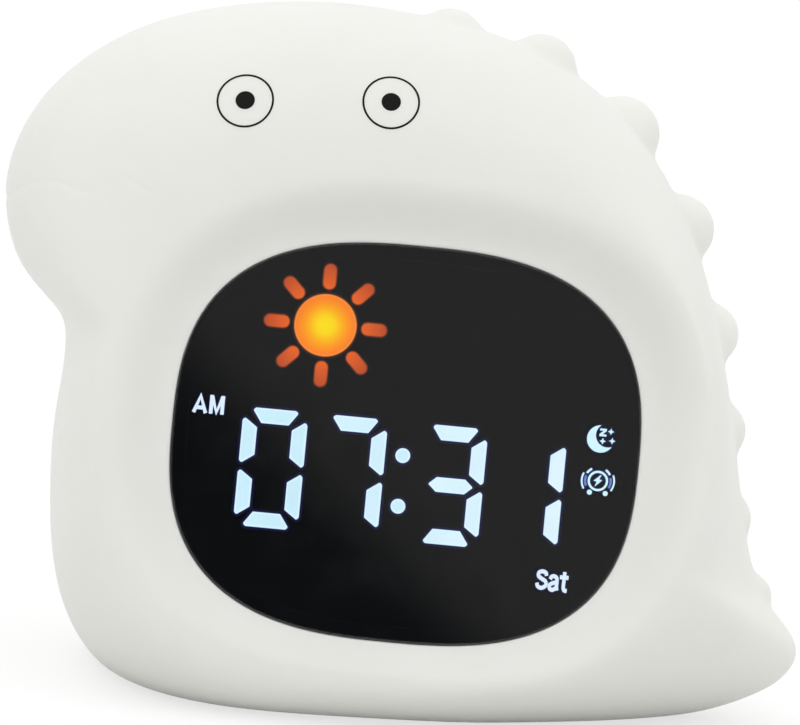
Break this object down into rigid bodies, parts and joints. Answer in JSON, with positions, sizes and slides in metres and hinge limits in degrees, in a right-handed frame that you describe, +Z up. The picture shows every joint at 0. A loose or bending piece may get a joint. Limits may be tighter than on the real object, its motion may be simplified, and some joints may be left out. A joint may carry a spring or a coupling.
{
  "type": "kids alarm clock",
  "caption": "Bedside alarm clock and night light in a soft dinosaur body, with a dark rounded display that leans back, and keys, slider, speaker and charging socket at the rear.",
  "frame": {"origin": "middle of the body's bounding box, on the flat base", "axes": "+X to the right as seen from the front, +Y to the back, +Z up"},
  "size_m": [0.1379, 0.0701, 0.1139],
  "materials": {
    "white_silicone": "soft satin silicone",
    "smoked_lens": "polished smoked acrylic",
    "black_foam": "foam",
    "black_film": "printed film",
    "white_plastic": "moulded",
    "milky_resin": "milky diffusing resin",
    "circuit_board": "green solder mask",
    "lamp_chips": "moulded lamp chips",
    "chip_plastic": "moulded epoxy",
    "socket_plastic": "moulded nylon",
    "screw_steel": "zinc plated",
    "frame_plastic": "moulded",
    "cover_plastic": "fine texture moulded",
    "switch_plastic": "moulded",
    "key_plastic": "moulded",
    "plunger_plastic": "moulded",
    "switch_steel": "pressed and plated",
    "component_ceramic": "fired ceramic",
    "sensor_brass": "plated",
    "clear_plastic": "clear",
    "speaker_steel": "black pressed steel",
    "speaker_paper": "pressed paper",
    "magnet_iron": "plated magnet",
    "cell_sleeve": "shrink sleeve over the can",
    "plug_rubber": "soft plug",
    "lead_plastic": "wire insulation",
    "ribbon_film": "flat cable film"
  },
  "bodies": {
    "root": {"silicone_skin": "white_silicone", "display_lens": "smoked_lens", "lens_gasket": "black_foam", "legend_film": "black_film", "light_well_block": "white_plastic", "legend_diffusers": "milky_resin", "display_board": "circuit_board", "display_leds": "lamp_chips", "display_driver_chip": "chip_plastic", "display_ribbon_socket": "socket_plastic", "display_board_screws": "screw_steel", "front_frame": "frame_plastic", "lamp_board": "circuit_board", "lamps": "lamp_chips", "lamp_board_screws": "screw_steel", "lamp_diffuser": "milky_resin", "rear_cover": "cover_plastic", "key_switches": "switch_plastic", "power_switch_case": "switch_steel", "main_board": "circuit_board", "main_board_screws": "screw_steel", "clock_chip": "chip_plastic", "sound_chip": "chip_plastic", "main_ribbon_socket": "socket_plastic", "board_components": "component_ceramic", "quartz_crystal": "switch_steel", "tap_sensor": "sensor_brass", "usb_socket": "switch_steel", "charge_led": "lamp_chips", "charge_light_pipe": "clear_plastic", "speaker_gasket": "black_foam", "speaker_frame": "speaker_steel", "speaker_cone": "speaker_paper", "speaker_magnet": "magnet_iron", "battery_cell": "cell_sleeve", "battery_socket": "socket_plastic", "battery_plug": "socket_plastic", "housing_screws": "screw_steel", "screw_plugs": "plug_rubber", "battery_leads": "lead_plastic", "speaker_leads": "lead_plastic", "lamp_leads": "lead_plastic", "display_ribbon": "ribbon_film"},
    "set_key": {"key_set": "key_plastic", "plunger_set": "plunger_plastic"},
    "up_key": {"key_up": "key_plastic", "plunger_up": "plunger_plastic"},
    "down_key": {"key_down": "key_plastic", "plunger_down": "plunger_plastic"},
    "alarm_key": {"key_alarm": "key_plastic", "plunger_alarm": "plunger_plastic"},
    "light_key": {"key_light": "key_plastic", "plunger_light": "plunger_plastic"},
    "power_slide": {"power_slider": "key_plastic"}
  },
  "joints": [
    {"name": "press_set", "type": "slide", "parent": "root", "child": "set_key", "axis": [0, -1, 0], "range_m": [0, 0.0005], "stiffness_N_per_m": 1500, "springref_m": -0.0004},
    {"name": "press_up", "type": "slide", "parent": "root", "child": "up_key", "axis": [0, -1, 0], "range_m": [0, 0.0005], "stiffness_N_per_m": 1500, "springref_m": -0.0004},
    {"name": "press_down", "type": "slide", "parent": "root", "child": "down_key", "axis": [0, -1, 0], "range_m": [0, 0.0005], "stiffness_N_per_m": 1500, "springref_m": -0.0004},
    {"name": "press_alarm", "type": "slide", "parent": "root", "child": "alarm_key", "axis": [0, -1, 0], "range_m": [0, 0.0005], "stiffness_N_per_m": 1500, "springref_m": -0.0004},
    {"name": "press_light", "type": "slide", "parent": "root", "child": "light_key", "axis": [0, -1, 0], "range_m": [0, 0.0005], "stiffness_N_per_m": 1500, "springref_m": -0.0004},
    {"name": "slide_power", "type": "slide", "parent": "root", "child": "power_slide", "axis": [-1, 0, 0], "range_m": [0, 0.0025]}
  ]
}
